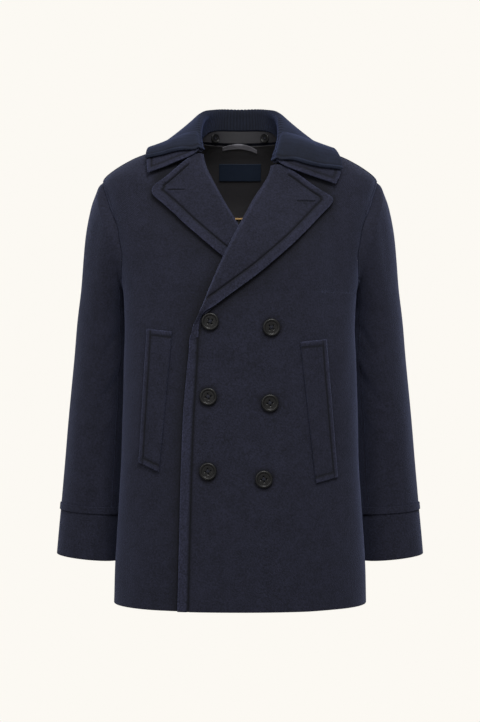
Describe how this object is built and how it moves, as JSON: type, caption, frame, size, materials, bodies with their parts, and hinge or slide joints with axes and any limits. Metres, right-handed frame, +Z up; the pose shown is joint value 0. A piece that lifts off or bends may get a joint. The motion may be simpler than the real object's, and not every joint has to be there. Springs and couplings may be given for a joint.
{
  "type": "pea coat",
  "caption": "Double-breasted hip-length wool coat, filled out and empty, with broad lapels, a knitted collar over a wool one, slanted welt pockets and set-in sleeves.",
  "frame": {"origin": "middle of the neck, level with the highest point of the shoulder seams", "axes": "+Z up, -Y towards the front, +X towards the wearer's left"},
  "size_m": [0.618, 0.2933, 0.8278],
  "materials": {
    "wool": "felted wool, matt with a soft nap",
    "knit": "rib-knit wool, matt",
    "satin": "satin weave, soft sheen",
    "lining": "twill lining, slight sheen",
    "piping": "corded satin piping, slight sheen",
    "label": "woven label, matt",
    "button": "moulded horn look, half polished"
  },
  "bodies": {
    "root": {"back": "wool", "front_left": "wool", "front_right": "wool", "lapel_left": "wool", "lapel_right": "wool", "collar_wool": "wool", "collar_knit": "knit", "neck_band": "satin", "lining_back": "lining", "lining_piping": "piping", "label": "label", "hanger_loop": "satin", "sleeve_top_left": "wool", "sleeve_under_left": "wool", "cuff_left": "wool", "cuff_strip_left": "wool", "shoulder_strap_left": "wool", "welt_left": "wool", "neck_button_left": "button", "sleeve_top_right": "wool", "sleeve_under_right": "wool", "cuff_right": "wool", "cuff_strip_right": "wool", "shoulder_strap_right": "wool", "welt_right": "wool", "neck_button_right": "button", "button_1_outer": "button", "button_1_inner": "button", "button_2_outer": "button", "button_2_inner": "button", "button_3_outer": "button", "button_3_inner": "button"}
  },
  "joints": []
}
